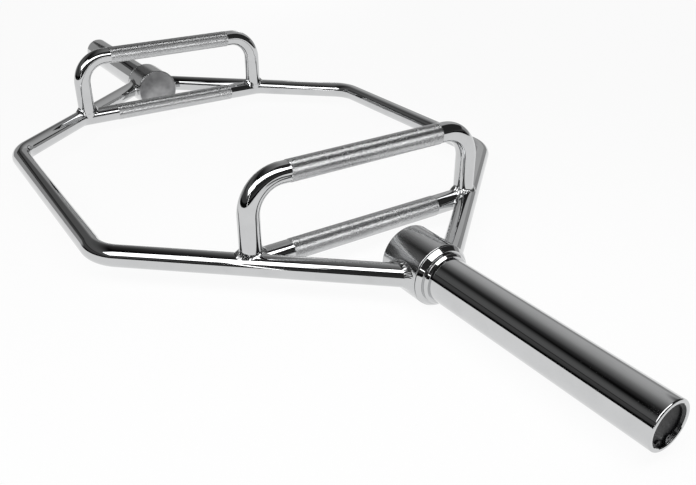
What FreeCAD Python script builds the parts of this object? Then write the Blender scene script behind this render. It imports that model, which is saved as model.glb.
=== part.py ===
import FreeCAD, Part
import math
import os

os.makedirs("parts", exist_ok=True)

V = FreeCAD.Vector

# Tube stock, each tube a touch wider than the one saddled on it
rail_radius = 12.7
saddle_step = 0.1
tube_wall = 2.6

# Hexagonal rail frame, two bent tubes that meet at the hubs
apex_x = 430.0
corner_x = 178.0
corner_y = 286.0
rail_bend_radius = 50.0

# Hubs that the rails are welded to
hub_length = 56.0
apex_overhang = 7.0
hub_inner_round = 2.0
hub_outer_round = 1.2
shaft_depth = 46.0

# Lower grips, straight knurled tubes between the rails
grip_setback = 80.0

# Raised handles, U-bent tubes that stand on the lower grips
riser_inset = 10.3
handle_rise = 95.0
handle_bend_radius = 40.0

# Knurled bands on all four grips
knurl_margin = 8.0
knurl_rise = 0.3
knurl_run_out = 0.6

# Weld beads
hub_bead = 3.0
grip_bead = 1.8
riser_bead = 3.4

# Rotating sleeve
sleeve_radius = 25.0
sleeve_wall = 5.5
sleeve_length = 278.0
sleeve_edge_round = 1.5
recess_step = 1.3
recess_depth = 4.2
recess_mouth_chamfer = 0.7

# Collar on the inner end of the sleeve
collar_gap = 1.0
collar_seat_depth = 0.5
collar_step = 5.7
collar_width = 5.6
collar_taper = 3.0
collar_edge_round = 0.4
boss_height = 4.3
boss_width = 3.2
boss_round = 1.2

# Stub shaft and the two bushes that run on it
bush_wall = 5.45
shaft_chamfer = 1.0
running_clearance = 0.05
inner_bush_length = 32.0
bush_flange_height = 3.0
bush_flange_thickness = 0.8
outer_bush_length = 26.0
shaft_end_gap = 12.0

# Retaining washer and ring on the shaft
end_float = 0.2
washer_thickness = 2.5
washer_clearance = 1.0
shaft_ring_thickness = 1.5
shaft_ring_margin = 4.0
shaft_groove_depth = 0.9
shaft_ring_height = 1.8
shaft_ring_lug_radius = 1.9
shaft_ring_eye_radius = 0.8
shaft_ring_gap_deg = 34.0

# End disc and the retaining ring in the sleeve mouth
disc_thickness = 3.0
disc_clearance = 0.1
disc_round = 0.4
end_ring_thickness = 1.5
end_groove_depth = 1.2
end_ring_height = 2.4
end_ring_lug_radius = 3.0
end_ring_eye_radius = 1.15
end_ring_gap_deg = 24.0
ring_groove_clearance = 0.05

# Cuts run past the faces they open by this much
overrun = 10.0

full_turn_deg = 360.0

# Radii about the sleeve axis, outwards and inwards from the sleeve
boss_radius = sleeve_radius + boss_height
collar_radius = boss_radius + collar_step
collar_seat_radius = sleeve_radius - collar_seat_depth
sleeve_bore_radius = sleeve_radius - sleeve_wall
bush_flange_radius = sleeve_bore_radius + bush_flange_height
washer_radius = sleeve_bore_radius - washer_clearance
shaft_radius = sleeve_bore_radius - bush_wall - running_clearance
shaft_groove_radius = shaft_radius - shaft_groove_depth
recess_radius = sleeve_bore_radius + recess_step
end_groove_radius = recess_radius + end_groove_depth

# The hubs are turned to the collars' diameter, and the part stands on both
hub_radius = collar_radius
axis_z = hub_radius

# Stations along the sleeve axis
hub_outer_x = apex_x - apex_overhang
hub_inner_x = hub_outer_x - hub_length
collar_x = hub_outer_x + collar_gap
sleeve_end_x = collar_x + sleeve_length
flange_end_x = collar_x + collar_width
boss_end_x = flange_end_x + boss_width
disc_front_x = sleeve_end_x - recess_depth
recess_floor_x = disc_front_x - disc_thickness
shaft_start_x = hub_outer_x - shaft_depth
shaft_end_x = recess_floor_x - shaft_end_gap
shaft_ring_x = shaft_end_x - shaft_ring_margin - shaft_ring_thickness
washer_x = shaft_ring_x - washer_thickness
outer_bush_end_x = washer_x - end_float

# The lower grips reach the centrelines of the rail legs, and the handles stand near their ends
grip_radius = rail_radius - saddle_step
handle_radius = grip_radius - saddle_step
grip_x = hub_inner_x - grip_setback
grip_end_y = corner_y * (apex_x - grip_x) / (apex_x - corner_x)
riser_y = grip_end_y - riser_inset
handle_top_z = axis_z + handle_rise
knurl_half = riser_y - handle_bend_radius - knurl_margin


def rounded_edges(points, radii, closed):
    """Edges of a polyline whose corners are replaced by tangent arcs."""
    count = len(points)
    entry = list(points)
    leave = list(points)
    arcs = [None] * count
    for i in range(count):
        if radii[i] <= 0 or (not closed and i in (0, count - 1)):
            continue
        corner = points[i]
        back = (points[i - 1] - corner).normalize()
        ahead = (points[(i + 1) % count] - corner).normalize()
        half = back.getAngle(ahead) / 2
        reach = radii[i] / math.tan(half)
        bisector = (back + ahead).normalize()
        middle = corner + bisector * (radii[i] / math.sin(half) - radii[i])
        entry[i] = corner + back * reach
        leave[i] = corner + ahead * reach
        arcs[i] = Part.Arc(entry[i], middle, leave[i]).toShape()
    edges = []
    for i in range(count):
        if arcs[i] is not None:
            edges.append(arcs[i])
        if closed or i < count - 1:
            edges.append(Part.makeLine(leave[i], entry[(i + 1) % count]))
    return edges


def turned(profile, base=V(0, 0, axis_z), along=V(1, 0, 0)):
    """Solid turned from (station, radius, corner round) points, by default about the sleeve axis."""
    points = [base + along * station + V(0, 0, radius) for station, radius, _ in profile]
    radii = [corner for _, _, corner in profile]
    face = Part.Face(Part.Wire(rounded_edges(points, radii, True)))
    return face.revolve(base, along, full_turn_deg)


def swept(points, bend_radius, radius):
    """Round bar of the given radius along a bent path."""
    radii = [bend_radius] * len(points)
    path = Part.Wire(Part.__sortEdges__(rounded_edges(points, radii, False)))
    start = (points[1] - points[0]).normalize()
    section = Part.Wire(Part.makeCircle(radius, points[0], start))
    return path.makePipeShell([section], True, False)


def bar(start, end, radius):
    """Straight round bar between two points."""
    return Part.makeCylinder(radius, (end - start).Length, start, end - start)


def mirrored(shape):
    """The same shape at the other end of the part."""
    return shape.mirror(V(0, 0, 0), V(1, 0, 0))


def cleaned(shape):
    """Compound of the solids of a boolean result."""
    solids = shape.removeSplitter().Solids
    return solids[0] if len(solids) == 1 else Part.makeCompound(solids)


def rail_path(side):
    """Corner points of one rail, side -1 for the front and +1 for the back."""
    return [
        V(apex_x, 0, axis_z),
        V(corner_x, side * corner_y, axis_z),
        V(-corner_x, side * corner_y, axis_z),
        V(-apex_x, 0, axis_z),
    ]


def rail_leg(side, radius):
    """Straight bar along the right leg of a rail."""
    start, corner = rail_path(side)[:2]
    return bar(start, corner, radius)


def hub_blank(radius):
    """Plain cylinder in the place of the right hub."""
    return bar(V(hub_inner_x, 0, axis_z), V(hub_outer_x, 0, axis_z), radius)


def hub_bore_blank():
    """Cylinder through the hub that trims the rail ends."""
    start = V(hub_inner_x - overrun, 0, axis_z)
    end = V(apex_x + rail_radius + overrun, 0, axis_z)
    return bar(start, end, hub_radius)


def rail(side):
    """Bent hollow rail, trimmed to sit on both hubs."""
    points = rail_path(side)
    tube = swept(points, rail_bend_radius, rail_radius)
    bore = swept(points, rail_bend_radius, rail_radius - tube_wall)
    trim = hub_bore_blank()
    return cleaned(tube.cut(bore).cut(trim).cut(mirrored(trim)))


def grip_blank(radius):
    """Solid bar in the place of the right lower grip."""
    return bar(V(grip_x, -grip_end_y, axis_z), V(grip_x, grip_end_y, axis_z), radius)


def knurl_band(height, radius):
    """Raised band with sloped run-outs, along Y at the given height."""
    crest = radius + knurl_rise
    profile = [
        (-knurl_half, 0, 0),
        (-knurl_half, radius, 0),
        (knurl_run_out - knurl_half, crest, 0),
        (knurl_half - knurl_run_out, crest, 0),
        (knurl_half, radius, 0),
        (knurl_half, 0, 0),
    ]
    return turned(profile, V(grip_x, 0, height), V(0, 1, 0))


def lower_grip():
    """Straight hollow grip, its ends shaped to the rails."""
    tube = grip_blank(grip_radius).fuse(knurl_band(axis_z, grip_radius))
    tube = tube.cut(grip_blank(grip_radius - tube_wall))
    for side in (-1, 1):
        tube = tube.cut(rail_leg(side, rail_radius))
    return cleaned(tube)


def handle_path():
    """Corner points of the raised handle, foot to foot."""
    return [
        V(grip_x, -riser_y, axis_z),
        V(grip_x, -riser_y, handle_top_z),
        V(grip_x, riser_y, handle_top_z),
        V(grip_x, riser_y, axis_z),
    ]


def upper_handle():
    """U-bent hollow handle, its feet shaped to the grip and the rails."""
    tube = swept(handle_path(), handle_bend_radius, handle_radius)
    tube = tube.fuse(knurl_band(handle_top_z, handle_radius))
    tube = tube.cut(swept(handle_path(), handle_bend_radius, handle_radius - tube_wall))
    tube = tube.cut(grip_blank(grip_radius))
    for side in (-1, 1):
        tube = tube.cut(rail_leg(side, rail_radius))
    return cleaned(tube)


def hub():
    """Hub with a blind bore for the stub shaft."""
    return turned([
        (hub_inner_x, 0, 0),
        (hub_inner_x, hub_radius, hub_inner_round),
        (hub_outer_x, hub_radius, hub_outer_round),
        (hub_outer_x, shaft_radius, 0),
        (shaft_start_x, shaft_radius, 0),
        (shaft_start_x, 0, 0),
    ])


def hub_welds():
    """Beads around both rail ends on a hub."""
    beads = []
    for side in (-1, 1):
        bead = hub_blank(hub_radius + hub_bead).common(rail_leg(side, rail_radius + hub_bead))
        bead = bead.cut(hub_blank(hub_radius)).cut(rail_leg(side, rail_radius))
        beads += bead.Solids
    return Part.makeCompound(beads)


def riser_blank(side, radius):
    """Solid bar in the place of one riser of the right handle."""
    return bar(V(grip_x, side * riser_y, axis_z), V(grip_x, side * riser_y, handle_top_z), radius)


def handle_welds():
    """Beads at both feet of a raised handle and both ends of its lower grip."""
    beads = []
    for side in (-1, 1):
        leg = rail_leg(side, rail_radius)
        grip = grip_blank(grip_radius)
        riser = riser_blank(side, handle_radius)
        around_grip = rail_leg(side, rail_radius + grip_bead).common(grip_blank(grip_radius + grip_bead))
        seat = rail_leg(side, rail_radius + riser_bead).fuse(grip_blank(grip_radius + riser_bead))
        around_riser = riser_blank(side, handle_radius + riser_bead).common(seat)
        bead = around_grip.fuse(around_riser).cut(leg).cut(grip).cut(riser)
        beads += bead.removeSplitter().Solids
    return Part.makeCompound(beads)


def stub_shaft():
    """Shaft fixed in the hub, grooved for its retaining ring."""
    return turned([
        (shaft_start_x, 0, 0),
        (shaft_start_x, shaft_radius, 0),
        (shaft_ring_x, shaft_radius, 0),
        (shaft_ring_x, shaft_groove_radius, 0),
        (shaft_ring_x + shaft_ring_thickness, shaft_groove_radius, 0),
        (shaft_ring_x + shaft_ring_thickness, shaft_radius, 0),
        (shaft_end_x - shaft_chamfer, shaft_radius, 0),
        (shaft_end_x, shaft_radius - shaft_chamfer, 0),
        (shaft_end_x, 0, 0),
    ])


def sleeve():
    """Sleeve tube with a turned seat for the collar, a stepped mouth and a groove for the end ring."""
    ring_end_x = disc_front_x + end_ring_thickness
    mouth_x = sleeve_end_x - recess_mouth_chamfer
    return turned([
        (collar_x, sleeve_bore_radius, 0),
        (collar_x, collar_seat_radius, 0),
        (boss_end_x, collar_seat_radius, 0),
        (boss_end_x, sleeve_radius, 0),
        (sleeve_end_x, sleeve_radius, sleeve_edge_round),
        (sleeve_end_x, recess_radius + recess_mouth_chamfer, 0),
        (mouth_x, recess_radius, 0),
        (ring_end_x, recess_radius, 0),
        (ring_end_x, end_groove_radius, 0),
        (disc_front_x, end_groove_radius, 0),
        (disc_front_x, recess_radius, 0),
        (recess_floor_x, recess_radius, 0),
        (recess_floor_x, sleeve_bore_radius, 0),
    ])


def collar():
    """Collar with a tapered flange and a smaller boss, around the sleeve."""
    return turned([
        (collar_x, collar_seat_radius, 0),
        (collar_x, collar_radius, collar_edge_round),
        (flange_end_x, collar_radius - collar_taper, collar_edge_round),
        (flange_end_x, boss_radius, 0),
        (boss_end_x, boss_radius, boss_round),
        (boss_end_x, collar_seat_radius, 0),
    ])


def inner_bush():
    """Flanged bush at the collar end of the sleeve."""
    bore = shaft_radius + running_clearance
    return turned([
        (collar_x - bush_flange_thickness, bore, 0),
        (collar_x - bush_flange_thickness, bush_flange_radius, 0),
        (collar_x, bush_flange_radius, 0),
        (collar_x, sleeve_bore_radius, 0),
        (collar_x + inner_bush_length, sleeve_bore_radius, 0),
        (collar_x + inner_bush_length, bore, 0),
    ])


def ring_of(start_x, length, inner, outer):
    """Plain ring on the sleeve axis."""
    return turned([
        (start_x, inner, 0),
        (start_x, outer, 0),
        (start_x + length, outer, 0),
        (start_x + length, inner, 0),
    ])


def outer_bush():
    """Plain bush at the far end of the sleeve."""
    bore = shaft_radius + running_clearance
    return ring_of(outer_bush_end_x - outer_bush_length, outer_bush_length, bore, sleeve_bore_radius)


def shaft_washer():
    """Washer that keeps the sleeve on the shaft."""
    return ring_of(washer_x, washer_thickness, shaft_radius, washer_radius)


def split_ring(start_x, length, inner, outer, lug_at, lug_radius, eye_radius, gap_deg):
    """Split retaining ring, open at the bottom, with an eyed lug on each side of the gap."""
    ring = ring_of(start_x, length, inner, outer)
    centre = V(start_x, 0, axis_z)
    half_gap = math.radians(gap_deg / 2)
    far = outer + overrun
    foot_z = axis_z - far
    spread = far * math.tan(half_gap)
    mouth = [centre, V(start_x, spread, foot_z), V(start_x, -spread, foot_z), centre]
    ring = ring.cut(Part.Face(Part.makePolygon(mouth)).extrude(V(length, 0, 0)))
    for side in (-1, 1):
        angle = half_gap + math.asin(lug_radius / lug_at)
        place = V(start_x, side * lug_at * math.sin(angle), axis_z - lug_at * math.cos(angle))
        ring = ring.fuse(Part.makeCylinder(lug_radius, length, place, V(1, 0, 0)))
        ring = ring.cut(Part.makeCylinder(eye_radius, length, place, V(1, 0, 0)))
    return cleaned(ring)


def shaft_ring():
    """Retaining ring in the groove of the shaft."""
    inner = shaft_groove_radius
    outer = shaft_radius + shaft_ring_height
    return split_ring(
        shaft_ring_x, shaft_ring_thickness, inner, outer, outer,
        shaft_ring_lug_radius, shaft_ring_eye_radius, shaft_ring_gap_deg,
    )


def end_disc():
    """Plain disc that closes the sleeve mouth."""
    radius = recess_radius - disc_clearance
    return turned([
        (recess_floor_x, 0, 0),
        (recess_floor_x, radius, 0),
        (disc_front_x, radius, disc_round),
        (disc_front_x, 0, 0),
    ])


def end_ring():
    """Retaining ring in the sleeve mouth, in front of the disc."""
    inner = recess_radius - end_ring_height
    outer = end_groove_radius - ring_groove_clearance
    return split_ring(
        disc_front_x, end_ring_thickness, inner, outer, inner,
        end_ring_lug_radius, end_ring_eye_radius, end_ring_gap_deg,
    )


nodes = {
    "front_rail": rail(-1),
    "back_rail": rail(1),
}
paired = {
    "hub": hub(),
    "lower_grip": lower_grip(),
    "upper_handle": upper_handle(),
    "hub_welds": hub_welds(),
    "handle_welds": handle_welds(),
    "stub_shaft": stub_shaft(),
    "shaft_washer": shaft_washer(),
    "shaft_ring": shaft_ring(),
    "sleeve": sleeve(),
    "collar": collar(),
    "inner_bush": inner_bush(),
    "outer_bush": outer_bush(),
    "end_disc": end_disc(),
    "end_ring": end_ring(),
}
for name, shape in paired.items():
    nodes["right_" + name] = shape
    nodes["left_" + name] = mirrored(shape)

for name, shape in nodes.items():
    shape.exportStep("parts/" + name + ".step")
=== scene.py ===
"""Hex trap bar: chromed tube frame with knurled grips, welded joints and two rotating sleeves."""

import math

import bmesh
import bpy
import numpy as np
from bpy.props import FloatProperty, FloatVectorProperty, IntProperty, PointerProperty
from mathutils import Matrix, Vector


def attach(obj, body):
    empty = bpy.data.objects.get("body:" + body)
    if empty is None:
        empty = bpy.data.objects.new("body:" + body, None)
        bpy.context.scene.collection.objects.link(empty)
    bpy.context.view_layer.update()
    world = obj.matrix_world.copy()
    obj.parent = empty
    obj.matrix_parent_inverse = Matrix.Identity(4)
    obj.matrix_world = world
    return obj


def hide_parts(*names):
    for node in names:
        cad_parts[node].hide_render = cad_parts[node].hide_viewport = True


bl_info = {
    "name": "Hex Trap Bar",
    "version": (1, 0, 0),
    "blender": (4, 5, 0),
    "location": "View3D > Sidebar > Trap Bar",
    "description": "Builds the chromed surfaces, knurling, welds and studio of a hex trap bar",
    "category": "Add Mesh",
}

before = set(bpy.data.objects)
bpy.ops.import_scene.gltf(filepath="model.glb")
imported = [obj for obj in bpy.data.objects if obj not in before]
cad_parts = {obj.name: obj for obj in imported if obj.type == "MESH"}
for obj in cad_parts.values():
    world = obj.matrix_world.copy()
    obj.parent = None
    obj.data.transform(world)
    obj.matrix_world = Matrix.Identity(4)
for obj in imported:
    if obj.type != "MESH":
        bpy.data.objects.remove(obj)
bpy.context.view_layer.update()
SIDES = {"right": 1, "left": -1}
UP = Vector((0, 0, 1))
WHITE = (1, 1, 1, 1)
# Distance in metres under which two places count as one
NEAR = 1e-6


def length(name, description, default):
    """Length setting in metres."""
    return FloatProperty(
        name=name, description=description, default=default, min=0, precision=5, unit="LENGTH"
    )


def share(name, description, default):
    """Number between zero and one."""
    return FloatProperty(
        name=name, description=description, default=default, min=0, max=1, subtype="FACTOR"
    )


def number(name, description, default, unit="NONE"):
    """Plain number from zero up."""
    return FloatProperty(name=name, description=description, default=default, min=0, unit=unit)


def whole(name, description, default, least=3):
    """Whole number, three or more unless another least is given."""
    return IntProperty(name=name, description=description, default=default, min=least)


def colour(name, description, default):
    """Colour setting."""
    return FloatVectorProperty(
        name=name, description=description, default=default, size=3, min=0, max=1, subtype="COLOR"
    )


def position(name, description, default):
    """Place setting in metres."""
    return FloatVectorProperty(
        name=name, description=description, default=default, size=3, unit="LENGTH", subtype="TRANSLATION"
    )


def angle(name, description, degrees):
    """Angle setting, given in degrees."""
    return FloatProperty(
        name=name, description=description, default=math.radians(degrees), unit="ROTATION"
    )


class TrapBarTubes(bpy.types.PropertyGroup):
    """Rails, grips and handles."""

    axis_z: length("Axis height", "Height of the rails and sleeves above the floor", 0.035)
    rail_radius: length("Rail radius", "Outer radius of the bent rails", 0.0127)
    grip_radius: length("Grip radius", "Outer radius of the lower grips", 0.0126)
    handle_radius: length("Handle radius", "Outer radius of the raised handles", 0.0125)
    apex_x: length("Apex", "Where the rail centrelines meet, from the middle", 0.430)
    corner_x: length("Corner along", "Rail corner from the middle, lengthwise", 0.178)
    corner_y: length("Corner across", "Rail corner from the middle, crosswise", 0.286)
    rail_bend: length("Rail bend", "Centreline radius of the rail corners", 0.050)
    rail_end_y: length("Rail end", "Where a rail stops inside its hub, from the axis", 0.025)
    grip_x: length("Grip place", "Grips and handles from the middle", 0.287)
    riser_y: length("Riser place", "Handle risers from the middle", 0.15199)
    handle_rise: length("Handle rise", "Raised handle above the rails", 0.095)
    handle_bend: length("Handle bend", "Centreline radius of the handle bends", 0.040)
    around: whole("Around", "Divisions round a tube", 96)
    arc_step: angle("Bend step", "Angle between rings in a bend", 1.5)
    run_step: length("Run step", "Distance between rings on a straight run", 0.015)


class TrapBarHub(bpy.types.PropertyGroup):
    """Hubs that the rails are welded to."""

    radius: length("Radius", "Outer radius", 0.035)
    inner_x: length("Inner face", "Inner face from the middle", 0.367)
    outer_x: length("Outer face", "Outer face from the middle", 0.423)
    inner_round: length("Inner round", "Edge round of the inner face", 0.002)
    outer_round: length("Outer round", "Edge round of the outer face", 0.0012)
    bore_x: length("Bore floor", "Floor of the shaft bore from the middle", 0.377)
    bore_radius: length("Bore radius", "Radius of the shaft bore", 0.014)
    hold: length("Hold", "Distance of the rings that hold an edge round", 0.00025)


class TrapBarSleeve(bpy.types.PropertyGroup):
    """Rotating sleeves with their collars."""

    radius: length("Radius", "Outer radius of the sleeve", 0.025)
    bore: length("Bore radius", "Inner radius of the sleeve", 0.0195)
    seat_radius: length("Seat radius", "Radius under the collar", 0.0245)
    start_x: length("Start", "Inner end of sleeve and collar from the middle", 0.424)
    end_x: length("End", "Outer end of the sleeve from the middle", 0.702)
    edge_round: length("Edge round", "Round of the outer rim", 0.0015)
    lip_round: length("Lip round", "Small rounds of the mouth and of the collar's step", 0.0002)
    recess_radius: length("Recess radius", "Radius of the mouth recess", 0.0208)
    recess_front_x: length("Disc face", "Face of the end disc from the middle", 0.6978)
    recess_floor_x: length("Recess floor", "Back of the end disc from the middle", 0.6948)
    groove_radius: length("Groove radius", "Radius of the ring groove", 0.022)
    groove_width: length("Groove width", "Width of the ring groove", 0.0015)
    mouth_chamfer: length("Mouth chamfer", "Chamfer of the recess mouth", 0.0007)
    collar_radius: length("Collar radius", "Outer radius of the collar flange", 0.035)
    flange_rim: length("Flange rim", "Radius at the outer face of the tapered flange", 0.0311)
    flange_end_x: length("Flange end", "Outer face of the flange from the middle", 0.4296)
    flange_round: length("Flange round", "Edge rounds of the flange", 0.0004)
    boss_radius: length("Boss radius", "Radius of the collar boss", 0.029)
    boss_rim: length("Boss rim", "Radius at the outer face of the tapered boss", 0.027)
    boss_taper_x: length("Boss taper", "Start of the boss taper from the middle", 0.4325)
    boss_end_x: length("Boss end", "Outer face of the boss from the middle", 0.4353)
    boss_round: length("Boss round", "Edge round of the boss", 0.0008)
    hold: length("Hold", "Distance of the rings that hold an edge round", 0.0001)
    around: whole("Around", "Divisions round a turned piece", 144)


class TrapBarKnurl(bpy.types.PropertyGroup):
    """Diamond knurling on the grips and handles."""

    half_length: length("Half length", "Half the length of a knurled band", 0.10399)
    rise: length("Rise", "Crests above the plain tube", 0.0003)
    depth: length("Depth", "Height of the diamonds", 0.000144)
    run_out: length("Run-out", "Sloped end of a band", 0.0006)
    columns: whole("Columns", "Diamonds round a band", 100)
    row_pitch: length("Row pitch", "Distance between rows of diamonds", 0.00068)


class TrapBarWeld(bpy.types.PropertyGroup):
    """Weld beads."""

    hub_leg: length("Hub leg", "Width of the bead where a rail meets its hub", 0.0042)
    foot_leg: length("Foot leg", "Width of the bead at the feet of the handles", 0.0062)
    end_leg: length("End leg", "Width of the bead at the ends of the lower grips", 0.0018)
    hollow: share("Hollow", "How far the face of a bead is hollowed", 0.45)
    ripple_pitch: length("Ripple pitch", "Distance between the ripples of a bead", 0.0026)
    ripple_share: share("Ripple height", "Height of the ripples as a share of the bead", 0.06)
    lump_share: share("Lump height", "Unevenness as a share of the bead", 0.16)
    lump_scale: number("Lump scale", "Lumps in a metre", 260.0)
    side_share: share("Side share", "Width of a foot bead at its sides, as a share of its leg", 0.45)
    smooth_z: length("Smooth below", "Height under which the beads are smooth", 0.037)
    rough_z: length("Rough above", "Height over which the beads are fully uneven", 0.044)
    smooth_share: share("Smooth share", "Unevenness left where the beads are smooth", 0.03)
    sunk: length("Sunk", "How far a bead is sunk into the metal", 0.0001)
    step: length("Step", "Distance between rings of a bead", 0.0004)
    around: whole("Around", "Divisions round a bead", 28)
    seed: whole("Seed", "Seed of the uneven beads", 7, least=0)


class TrapBarFinish(bpy.types.PropertyGroup):
    """Colours and finishes."""

    chrome: colour("Chrome", "Reflected colour of the chrome", (0.585, 0.59, 0.595))
    chrome_haze: colour("Chrome haze", "Reflected colour where the chrome is hazy", (0.55, 0.555, 0.56))
    chrome_rough: share("Chrome roughness", "Roughness of clean chrome", 0.03)
    haze_rough: share("Haze roughness", "Roughness of hazy chrome", 0.085)
    speck_rough: share("Speck roughness", "Roughness that a dull speck adds", 0.05)
    # The turned faces' darker colours are painted shade that darkens the reflection those faces show; the
    # second colour lies in random patches.
    face: colour("Turned face", "Reflected colour of the hubs' satin faces", (0.42, 0.42, 0.425))
    face_shade: colour("Face stain", "Reflected colour where those faces are shaded", (0.2, 0.2, 0.205))
    face_rough: share("Face roughness", "Roughness that a satin face adds", 0.28)
    black: colour("Black plastic", "Colour of the end discs", (0.012, 0.012, 0.013))
    ring: colour("Ring steel", "Colour of the blackened rings", (0.022, 0.022, 0.024))
    bronze: colour("Bronze", "Colour of the bushes", (0.55, 0.36, 0.17))
    steel: colour("Steel", "Colour of the plain steel parts", (0.42, 0.42, 0.43))


class TrapBarStage(bpy.types.PropertyGroup):
    """Floor, surroundings, lamps and camera."""

    floor_size: length("Floor size", "Side of the floor", 40.0)
    floor: colour("Floor", "Colour that the floor sheds on the bar", (0.8, 0.8, 0.8))
    floor_shade: share("Floor shade", "How strongly the white floor shows the bar's shadow", 0.07)
    floor_glow: share("Floor glow", "Glow that makes the floor white", 0.932)
    wall_radius: length("Wall radius", "Radius of the dark studio walls", 9.0)
    ceiling_size: length("Ceiling size", "Side of the grey studio ceiling", 10.0)
    ceiling_z: length("Ceiling height", "Height of the grey studio ceiling", 1.62)
    camera_place: position("Camera place", "Where the camera stands", (0.93503, -0.46467, 0.44257))
    camera_turn: angle("Camera turn", "Camera direction round the bar", 55.852)
    camera_tilt: angle("Camera tilt", "Camera direction above the floor", 28.310)
    camera_roll: angle("Camera roll", "Roll of the camera", 0.223)
    lens: number("Lens", "Focal length on the sensor", 39.036, "CAMERA")
    sensor: number("Sensor", "Width of the sensor", 36.0, "CAMERA")
    key_radiance: number("Key", "Brightness of the soft boxes", 3.0)
    fill: number("Fill", "Power of the overhead fill", 30.0)
    fill_size: length("Fill size", "Side of the overhead fill", 3.0)
    fill_place: position("Fill place", "Where the overhead fill hangs", (0.2, -0.1, 2.2))


class TrapBarSettings(bpy.types.PropertyGroup):
    """All settings of the trap bar."""

    tubes: PointerProperty(type=TrapBarTubes, name="Tubes", description="Rails, grips and handles")
    hub: PointerProperty(type=TrapBarHub, name="Hub", description="Hubs")
    sleeve: PointerProperty(type=TrapBarSleeve, name="Sleeve", description="Sleeves and collars")
    knurl: PointerProperty(type=TrapBarKnurl, name="Knurl", description="Knurling")
    weld: PointerProperty(type=TrapBarWeld, name="Weld", description="Weld beads")
    finish: PointerProperty(type=TrapBarFinish, name="Finish", description="Colours and finishes")
    stage: PointerProperty(type=TrapBarStage, name="Stage", description="Floor, lamps and camera")


def settings():
    """Settings of the open scene."""
    return bpy.context.scene.trap_bar


# Node helpers


def put(tree, socket, value):
    """Link an input to an output, or set it to a plain value."""
    if isinstance(value, bpy.types.NodeSocket):
        tree.links.new(value, socket)
    else:
        socket.default_value = value


def add_node(tree, kind, inputs=None, **options):
    """New node with its options, and its inputs put in by name or number."""
    made = tree.nodes.new(kind)
    for name, value in options.items():
        setattr(made, name, value)
    for name, value in (inputs or {}).items():
        put(tree, made.inputs[name], value)
    return made


def flow(tree, kind, inputs=None, **options):
    """First output of a new node."""
    return add_node(tree, kind, inputs, **options).outputs[0]


def maths(tree, operation, *values):
    """Output of a Math node."""
    return flow(tree, "ShaderNodeMath", dict(enumerate(values)), operation=operation)


def vectors(tree, operation, *values):
    """Output of a Vector Math node."""
    return flow(tree, "ShaderNodeVectorMath", dict(enumerate(values)), operation=operation)


def scaled(tree, vector, size):
    """Vector times a number."""
    places = {"Vector": vector, "Scale": size}
    return flow(tree, "ShaderNodeVectorMath", places, operation="SCALE")


def split(tree, vector):
    """The three numbers of a vector."""
    return add_node(tree, "ShaderNodeSeparateXYZ", {0: vector}).outputs


def joined(tree, *values):
    """Vector of three numbers."""
    return flow(tree, "ShaderNodeCombineXYZ", dict(enumerate(values)))


def remap(tree, value, low, high, new_low=0.0, new_high=1.0):
    """Output of a Map Range node."""
    places = {"Value": value, "From Min": low, "From Max": high, "To Min": new_low, "To Max": new_high}
    return add_node(tree, "ShaderNodeMapRange", places).outputs["Result"]


def noise(tree, vector, scale, detail=2.0, roughness=0.5):
    """Output of a Noise Texture node."""
    places = {"Vector": vector, "Scale": scale, "Detail": detail, "Roughness": roughness}
    return flow(tree, "ShaderNodeTexNoise", places)


def mixed(tree, factor, first, second):
    """Output of a colour Mix node, whose colour sockets are numbers 6 and 7."""
    return add_node(tree, "ShaderNodeMix", {0: factor, 6: first, 7: second}, data_type="RGBA").outputs[2]


def cleared(holder):
    """Emptied node tree of a material or world."""
    holder.use_nodes = True
    holder.node_tree.nodes.clear()
    return holder.node_tree


def object_place(tree):
    """Object coordinates."""
    return add_node(tree, "ShaderNodeTexCoord").outputs["Object"]


# Materials

# Scale in a metre, detail and roughness of a noise, and the band of it that is spread from 0 to 1
PATTERNS = {
    "haze": (26.0, 5.0, 0.6, 0.42, 0.72),
    "specks": (420.0, 2.0, 0.5, 0.62, 0.72),
    # Random patches of darker painted shade on the hubs' faces.
    "shading": (24.0, 3.0, 0.6, 0.36, 0.64),
    "cloud": (160.0, 4.0, 0.5, 0.35, 0.75),
    "rub": (900.0, 3.0, 0.7, 0.3, 0.7),
    "patina": (340.0, 4.0, 0.6, 0.4, 0.75),
}
# Part of a face's normal along the sleeve axis at which the satin finish and its painted shade start and
# are full
FACE_TILT = (0.9, 0.98)
# Scale of the turning marks along the sleeve axis and across it
TURNING_MARKS = (2600.0, 12.0, 12.0)


def rgba(value):
    """Colour with full opacity."""
    return (*value, 1.0)


def toned(value, times):
    """Colour made lighter or darker, with full opacity."""
    return rgba(min(1.0, times * part) for part in value)


def pattern(tree, place, name):
    """One of the named noise patterns, from 0 to 1."""
    scale, detail, roughness, low, high = PATTERNS[name]
    return remap(tree, noise(tree, place, scale, detail, roughness), low, high)


def new_surface(name):
    """Material with one principled shader, its tree and its object coordinates."""
    material = bpy.data.materials.new(name)
    tree = cleared(material)
    shader = add_node(tree, "ShaderNodeBsdfPrincipled")
    add_node(tree, "ShaderNodeOutputMaterial", {"Surface": shader.outputs[0]})
    return material, tree, shader, object_place(tree)


def dress(tree, shader, tint, rough, height, strength, distance, metallic):
    """Colour, roughness, bump and metal share of a surface."""
    bump = add_node(tree, "ShaderNodeBump", {"Height": height, "Strength": strength, "Distance": distance})
    tree.links.new(tint, shader.inputs["Base Color"])
    tree.links.new(rough, shader.inputs["Roughness"])
    tree.links.new(bump.outputs["Normal"], shader.inputs["Normal"])
    shader.inputs["Metallic"].default_value = metallic


def kept(name, maker, **options):
    """Material of that name, made once."""
    return bpy.data.materials.get(name) or maker(name, **options)


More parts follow.
